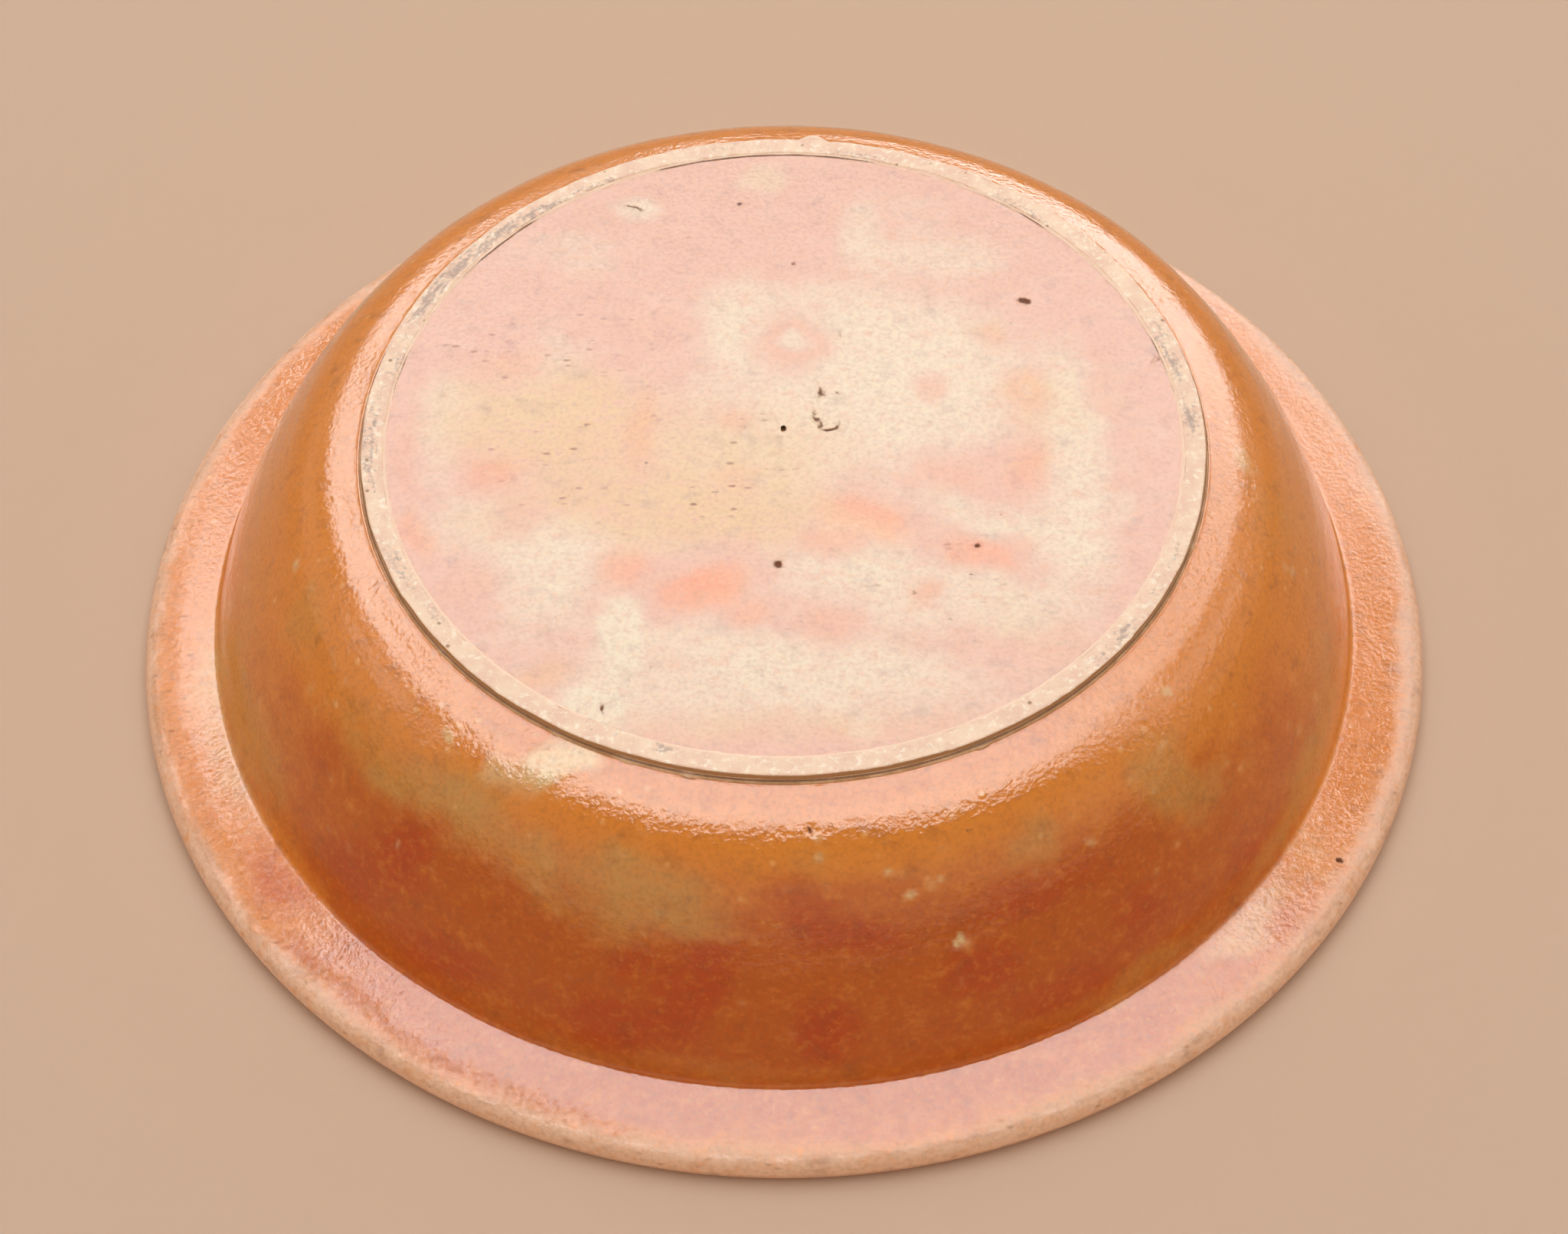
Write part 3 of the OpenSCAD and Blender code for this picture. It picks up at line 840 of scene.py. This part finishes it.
base_flush = [
    (13.5, -35.3, 7.5, 4.6, -20, 0.85), (27, -30, 6, 5, -15, 0.6), (5, -40, 4, 3, -20, 0.5),
    (-14, -20, 9, 5, 27, 0.75), (-7, -25, 6, 2.6, 22, 0.4), (-43, -8, 4.5, 7, 12, 0.5),
    (-29, -11, 8, 4.5, 20, 0.35), (-34, -28, 7, 3.4, 22, 0.65), (-43, -26, 3, 2.6, 20, 0.45),
    (-24, -37, 3.2, 2.4, -30, 0.5), (-43, 9, 4, 4.5, 0, 0.45), (-43, 9, 1.5, 1.5, 0, -0.6),
    (-2, 22, 6, 6.5, 0, 0.35), (-2, 22.3, 2.6, 2.6, 0, -0.9), (-37, 23, 3, 3, 0, 0.3),
    (51, -9, 5.5, 3.8, -20, 0.55), (8.5, 2.5, 3.6, 3, 0, 0.4), (9, -10.5, 4, 3, 0, 0.35),
    (25, 1, 3.4, 9, 5, 0.45), (49, 16, 6, 4, 0, 0.35), (63, -23, 3.5, 5, -20, 0.5),
    (66, -6, 2.5, 10, -8, 0.35), (40, -54, 5, 3.5, -35, 0.4), (-8, -44, 5, 3.5, 0, 0.4),
    (54, -35, 6, 3.5, -20, 0.3), (24, 24, 8, 6, 0, 0.25), (-26, 10.7, 2.8, 2.4, 0, 0.3),
]
base_bright = [
    (27.5, -42, 3.4, 4.5, 10, 0.75), (27, -47, 2.6, 6, 0, 0.4), (32, -60, 4.5, 3.4, 20, 0.7),
    (31, -66, 6, 3, 15, 0.4), (27, 56, 4, 2.4, 0, 0.3),
]
base_pricked = [
    (50, 18, 12, 10, 0, 1.0), (36, 24, 12, 10, 0, 0.6), (25, 2, 6, 11, 0, 0.7),
    (40, -10, 20, 11, 0, 0.9), (14, -14, 16, 12, 0, 0.9), (52, -9, 6, 5, 0, 1.0),
    (-30, -30, 14, 7, 15, 0.7), (-12, -40, 16, 8, 0, 0.5), (8, 2, 6, 5, 0, 0.8),
    (20, 44, 9, 6, 0, 0.4), (-36, 30, 8, 8, 0, 0.4),
]
base_pits = [
    (-44, 32, 1.3, 0.8, 10, 1.0), (1, -30, 0.9, 1.0, 0, 0.9), (8, 57.3, 0.9, 0.5, -25, 0.8),
    (28, 56.5, 1.6, 0.4, 15, 0.8), (26.5, 55.5, 0.9, 0.4, -10, 0.7), (-2, 41.5, 0.6, 0.5, 0, 0.7),
    (35, 2, 0.7, 0.4, 0, 0.7), (-33.3, -26, 0.8, 0.5, 0, 0.8), (-32, -32.5, 0.7, 0.4, 0, 0.7),
    (-22, -36.3, 0.7, 0.5, -40, 0.7), (-37.5, -19, 0.5, 0.4, 0, 0.7), (-28, -42, 0.5, 0.6, 0, 0.6),
    (22.2, -52, 0.5, 0.7, 0, 0.6), (30, -60.5, 0.4, 1.3, 0, 0.8), (26.5, -62.5, 0.5, 0.5, 0, 0.6),
    (34, -60.5, 0.5, 0.7, 0, 0.6), (-10.2, 23.7, 0.5, 0.9, 0, 0.5), (-41.3, 26.3, 0.6, 0.5, 0, 0.6),
    (7, 1.2, 1.0, 0.6, 0, 0.4), (10, -26, 0.6, 0.4, 0, 0.4), (-42.5, -26.5, 0.6, 0.5, 0, 0.5),
    (-29, -29, 0.5, 0.4, 0, 0.5), (-24, -39, 0.6, 0.4, 20, 0.5), (-68, 18, 0.5, 2.2, 25, 0.6),
    (-66.5, 17, 0.4, 1.6, 20, 0.5),
]
# One blister broke: the torn edge that curls round it, and the hollow that it left
base_curl = [
    (-5.4, 4.6, 0.45, 1.2, 0, 0.7), (-5.9, 3.0, 0.9, 0.6, 30, 0.9), (-6.6, 1.6, 0.45, 1.0, 25, 0.9),
    (-7.9, 0.6, 1.2, 0.45, 0, 0.9), (-9.4, 1.1, 0.8, 0.45, -40, 0.9), (-9.9, 2.6, 0.4, 1.2, 0, 0.6),
    (-6.4, 9.6, 0.45, 1.4, 0, 0.8), (-7.2, 9.1, 0.45, 0.8, 0, 0.7), (-9.6, 9.5, 0.5, 0.5, 0, 0.7),
    (-6.2, 11.6, 0.35, 0.6, 0, 0.5),
]
base_curl_hollow = [(-7.9, 2.8, 1.7, 1.7, -30, 1.0)]
pit_x = base_x + 0.35 * value_noise(base_space, 1.1 * MM, 57)
pit_y = base_y + 0.35 * value_noise(base_space, 1.1 * MM, 58)
pit = np.maximum(patches(pit_x, pit_y, base_pits), 0.85 * patches(pit_x, pit_y, base_curl))
pit = pit * lower_face
islands = patches(stray_x, stray_y, base_islands)
bright = patches(base_x, base_y, base_bright)
pale = 0.75 * patches(stray_x, stray_y, base_cream) * (1 - 0.85 * islands)
pale = np.clip(0.12 + pale + bright, 0, 1) * lower_face
pricked = patches(base_x, base_y, base_pricked)
base_hold = 1 - eased(base_r / seam_in, 0.95, 1.0)
base_relief = unevenness(base_space, (0.09, 21, 51), (0.035, 7, 52), (0.012, 2.2, 53))
base_relief += 0.10 * bright * lower_face - 0.25 * pit
base_relief -= 0.15 * patches(base_x, base_y, base_curl_hollow)
base_z = base_z - base_relief * MM * base_hold * lower_face
base_fields = {
    "honey": 0.3,
    "ochre": 0.0,
    "warm": 0.75 * patches(stray_x, stray_y, base_ochre) * (1 - 0.4 * islands) * lower_face,
    "rust": patches(stray_x, stray_y, base_flush) * lower_face,
    "pale": pale,
    "pit": pit,
    "pricked": pricked * lower_face,
    "worn": 0.0,
    "rubbed": 0.0,
    "crazed": (0.18 + 0.10 * pricked) * lower_face,
    "peel": 0.3,
}
turned_piece("base_glaze_coat", "base_glaze", base_r, base_z, base_fields, base_finish)


# Inner glaze: the coat that the food meets, over the well, the flange's upper face and the lip.
# It was poured in and swirled, so it is thicker in the well and shows the rings of the throwing.
wall_t = 6 * MM
floor_t = 7.6 * MM
well_r = 22 * MM
well_edge_r = 4 * MM
well_floor_z = base_low.z + floor_t
wall_in_r = wall_r - wall_t
well_c_z = well_floor_z + well_r
well_out = math.sqrt((wall_in_r - well_r) ** 2 - (well_c_z - wall_c[1]) ** 2)
well_c = np.array([wall_c[0] + well_out, well_c_z])
well_start = angle_of(well_c - wall_c)
flange_run = heading(flange_tilt)
# The edge's centre lies along the flange, wall_in_r + well_edge_r from the wall's centre
edge_from = lip_c - (lip_r - well_edge_r) * flange_under
off = edge_from - wall_c
ahead_by = off @ flange_run
edge_by = math.sqrt(ahead_by**2 - off @ off + (wall_in_r + well_edge_r) ** 2) - ahead_by
edge_c = edge_from + edge_by * flange_run
wall_in_start = angle_of(edge_c - wall_c)
well_line = section(
    line((0, well_floor_z), (well_c[0], well_floor_z), 60),
    arc(well_c, well_r, -90, well_start, 60),
    arc(wall_c, wall_in_r, well_start, wall_in_start, 60),
    arc(edge_c, well_edge_r, 180 + wall_in_start, 90 + flange_tilt, 30),
    arc(lip_c, lip_r, 90 + flange_tilt, 0, 40),
)
well_points, well_s = softened(well_line, 0.4 * MM, 124)
well_points[0, 0] = 0
well_s = well_s / MM
well_length = well_s[-1]
well_n = -normals(well_points)
well_rows_r, well_rows_z, well_space = carried_round(well_points)
well_hold = eased(well_length - well_s, 0.0, 3.0)
ring_apart = 7.5  # millimetres from one ring of the throwing to the next
throwing = well_s * 2 * np.pi / ring_apart + np.radians(turn_of_rows())
throwing = 0.07 * np.sin(throwing + 0.8 * value_noise(well_space, 50 * MM, 61))
throwing = throwing * eased(well_s, 4, 20) * (1 - eased(well_s, well_length - 26, well_length - 20))
well_relief = unevenness(well_space, (0.12, 18, 62), (0.04, 6, 63), (0.015, 2.2, 64))
well_relief = (throwing + well_relief) * well_hold * MM
top_r = np.maximum(well_rows_r + well_relief * well_n[:, 0], 0)
top_z = well_rows_z + well_relief * well_n[:, 1]
WELL_UNDER_POINTS = 26
well_pick = np.linspace(0, len(well_points) - 1, WELL_UNDER_POINTS).round().astype(int)
well_under = well_points - glaze_t * well_n
well_under[0] = (0, well_floor_z - glaze_t)
well_under[-1] = (rim_r - glaze_t, lip_c[1])
coat_r = np.hstack([np.tile(well_under[well_pick, 0], (TURNS, 1)), top_r[:, ::-1]])
coat_z = np.hstack([np.tile(well_under[well_pick, 1], (TURNS, 1)), top_z[:, ::-1]])


def with_floor(field):
    """A field of the upper skin, in the order of the coat's section, with zeros for the hidden
    underside."""
    upper = np.broadcast_to(field, top_r.shape)[:, ::-1]
    return np.hstack([np.zeros((TURNS, len(well_pick))), upper])


well_cloud = unevenness(well_space, (1.0, 16, 65), (0.5, 8, 66))
well_flush = unevenness(well_space, (1.0, 14, 67), (0.5, 7, 68))
well_fields = {
    "honey": with_floor(np.clip(0.45 + 0.4 * well_cloud, 0, 1)),
    "ochre": with_floor(eased(well_cloud, 0.0, 0.9) * 0.8),
    "rust": with_floor(eased(well_flush, 0.1, 0.8) * 0.85),
    "pale": 0.0,
    "pit": 0.0,
    "pricked": 0.0,
    "crazed": 0.0,
    "peel": 0.6,
    "warm": 0.0,
    "worn": with_floor(eased(well_s, well_length - 9.0, well_length - 4.0) * 0.72),
    "rubbed": with_floor(eased(well_s, well_length - 4.0, well_length - 1.5)),
}
turned_piece("inner_glaze_coat", "inner_glaze", coat_r, coat_z, well_fields, glaze)


# Stage: the photograph has the dish upside down, so one pale floor lies against the lip, for the
# picture from below. The other floor carries the dish the right way up. Each shows on one side
# only, and in its own pictures only.
FLOOR_RINGS = (0.2, 0.5, 4.0)
FLOOR_TURNS = 240
FLOOR_COLOUR = (0.66, 0.48, 0.36, 1)
BOTH_SHEETS = 1.5  # between one sheet crossed and two


def pale_floor(name, hole, levels, upturned):
    """Flat rings of floor, clear from behind. The floor under the foot has two sheets: a ray that
    has come through both is of the upturned dish, and meets the floor against the lip. Any other
    ray meets the floor under the foot."""
    turn = np.linspace(0, 2 * np.pi, FLOOR_TURNS, endpoint=False)
    radii = np.array([hole, *FLOOR_RINGS])
    index = np.arange(len(radii) * FLOOR_TURNS).reshape(len(radii), FLOOR_TURNS)
    ahead = np.roll(index, -1, 1)
    quads = np.stack([index[:-1], index[1:], ahead[1:], ahead[:-1]], -1).reshape(-1, 4)
    quads = quads[:, ::-1] if upturned else quads
    flat = np.stack([np.outer(radii, np.sin(turn)), np.outer(radii, -np.cos(turn))], -1)
    flat = flat.reshape(-1, 2)
    points = np.vstack([np.c_[flat, np.full(len(flat), level)] for level in levels])
    faces = np.vstack([quads + k * len(flat) for k in range(len(levels))])
    mesh = bpy.data.meshes.new(name)
    mesh.from_pydata(points.tolist(), [], faces.tolist())
    floor = bpy.data.objects.new(name, mesh)
    bpy.context.scene.collection.objects.link(floor)
    material = bpy.data.materials.new(name)
    material.use_nodes = True
    tree = material.node_tree
    tree.nodes.remove(tree.nodes["Principled BSDF"])
    crossed = add_node(tree, "ShaderNodeLightPath").outputs["Transparent Depth"]
    behind = add_node(tree, "ShaderNodeNewGeometry").outputs["Backfacing"]
    front = add_math(tree, "SUBTRACT", 1.0, behind)
    own = add_math(tree, "GREATER_THAN" if upturned else "LESS_THAN", crossed, BOTH_SHEETS)
    share = add_math(tree, "MULTIPLY", front, own)
    matt = add_node(tree, "ShaderNodeBsdfDiffuse", {"Color": FLOOR_COLOUR}).outputs[0]
    clear = add_node(tree, "ShaderNodeBsdfTransparent").outputs[0]
    mixed = add_node(tree, "ShaderNodeMixShader", {0: share, 1: clear, 2: matt})
    tree.links.new(mixed.outputs[0], tree.nodes["Material Output"].inputs["Surface"])
    mesh.materials.append(material)


axis_hole, sheet_gap = 0.0005, 0.0005
pale_floor("floor_against_lip", rim_r - lip_r, [height], True)
pale_floor("floor_under_foot", axis_hole, [0.0, -sheet_gap], False)


# Light: a broad soft lamp on each side of the dish gives the plain level. The panels beside the
# lower one show in the gloss alone, as the bright walls and ceiling of a room do.
def softbox(name, x, y, z, radiance, diffuse=True, glossy=True):
    """A flat rectangular lamp between two x and two y, facing the dish. Its power is
    pi * radiance * area."""
    lamp = bpy.data.lights.new(name, "AREA")
    lamp.shape = "RECTANGLE"
    lamp.size, lamp.size_y = x[1] - x[0], y[1] - y[0]
    lamp.energy = math.pi * radiance * lamp.size * lamp.size_y
    holder = bpy.data.objects.new(name, lamp)
    holder.location = ((x[0] + x[1]) / 2, (y[0] + y[1]) / 2, z)
    holder.rotation_euler = (math.pi if z < 0 else 0, 0, 0)
    holder.visible_camera = False
    holder.visible_diffuse = diffuse
    holder.visible_glossy = glossy
    bpy.context.scene.collection.objects.link(holder)


PLAIN_LEVEL = 1.7
base_lamp_z, panel_z, well_lamp_z = -0.95, -0.9, 1.0
softbox("softbox_over_base", (-0.45, 0.45), (-0.52, 1.05), base_lamp_z, PLAIN_LEVEL, glossy=False)
# Sides in x and in y, and radiance
sheen_panels = [
    ("near", (-0.48, 0.45), (-0.52, 0.42), 7.8),
    ("far", (-0.48, 0.45), (0.42, 1.05), 8.6),
    ("left_near", (0.45, 0.80), (-0.42, 0.20), 7.6),
    ("left_outer", (0.80, 1.00), (-0.06, 0.20), 7.0),
    ("left", (0.60, 1.15), (0.20, 0.56), 7.6),
    ("left_far", (0.45, 1.25), (0.56, 1.05), 7.2),
    ("left_edge", (1.15, 2.20), (-0.40, 0.56), 1.7),
    ("left_behind", (0.80, 1.60), (1.05, 3.50), 5.6),
    ("behind", (-0.55, 0.55), (1.05, 7.00), 5.6),
    ("right_near", (-0.68, -0.48), (-0.45, 0.02), 7.0),
    ("right_middle", (-0.68, -0.48), (0.02, 0.40), 6.0),
    ("right", (-1.00, -0.68), (-0.30, 0.40), 4.8),
    ("right_gap_far", (-0.76, -0.48), (0.75, 1.05), 2.6),
    ("right_far", (-1.20, -0.76), (0.40, 1.05), 5.4),
    ("right_edge", (-2.40, -1.00), (-0.40, 0.40), 1.8),
    ("right_edge_far", (-2.60, -1.20), (0.40, 1.05), 2.0),
    ("right_behind", (-1.70, -0.62), (1.05, 1.90), 6.0),
    ("right_horizon", (-3.00, -0.55), (1.90, 9.00), 6.0),
]
for place, x, y, radiance in sheen_panels:
    softbox("sheen_" + place, x, y, panel_z, radiance, diffuse=False)
softbox("softbox_over_well", (-0.55, 0.55), (-0.55, 0.55), well_lamp_z, PLAIN_LEVEL)

# The room beyond the lamps: its tone follows how steeply a ray rises
world = bpy.data.worlds.new("studio")
bpy.context.scene.world = world
world.use_nodes = True
sky = world.node_tree


def blended(value, low, high, first, second):
    """The first colour where a value is low, the second where it is high, and a straight blend
    between."""
    inputs = {"Value": value, "From Min": low, "From Max": high}
    share = add_node(sky, "ShaderNodeMapRange", inputs).outputs[0]
    mixed = add_node(sky, "ShaderNodeMix", {0: share, 6: first, 7: second}, data_type="RGBA")
    return mixed.outputs[2]


low_wall, dim_ceiling = (0.98, 0.85, 0.70, 1), (0.30, 0.28, 0.26, 1)
horizon, pale_wall = (0.60, 0.43, 0.31, 1), (0.92, 0.86, 0.79, 1)
toward = add_node(sky, "ShaderNodeTexCoord").outputs["Generated"]
rise = add_node(sky, "ShaderNodeSeparateXYZ", {0: toward}).outputs["Z"]
steep = add_math(sky, "ABSOLUTE", rise)
below = blended(steep, 0.25, 0.75, low_wall, dim_ceiling)
above = blended(rise, 0.0, 0.14, horizon, pale_wall)
tone = blended(rise, -0.03, -0.015, below, above)
sky.links.new(tone, sky.nodes["Background"].inputs["Color"])


# Camera: the photograph looks down on the upturned dish from 52 degrees, so the camera looks up
# at the foot here. Its place, roll and focal length were fitted to the circles of the dish.
IMAGE_WIDTH, FOCAL_LENGTH = 2048, 4000  # pixels of the photograph
SENSOR_WIDTH = 36
pitch = math.radians(52.03)
roll = math.radians(-0.18)
distance = 0.58316
aim_past_lip = 0.00033
aim = np.array([0, 0, height + aim_past_lip])
forward = np.array([0, math.cos(pitch), math.sin(pitch)])
level = np.array([-1.0, 0, 0])
upright = np.array([0, math.sin(pitch), -math.cos(pitch)])
right = math.cos(roll) * level + math.sin(roll) * upright
up = math.cos(roll) * upright - math.sin(roll) * level
stand = aim - distance * forward
camera = bpy.data.objects.new("photo_camera", bpy.data.cameras.new("photo_camera"))
camera.data.sensor_width = SENSOR_WIDTH
camera.data.lens = SENSOR_WIDTH * FOCAL_LENGTH / IMAGE_WIDTH
camera.data.clip_start = 0.01
axes = np.stack([right, up, -forward, stand], -1)
camera.matrix_world = Matrix([*axes.tolist(), [0, 0, 0, 1]])
bpy.context.scene.collection.objects.link(camera)
bpy.context.scene.camera = camera
bpy.context.scene.view_settings.view_transform = "Standard"
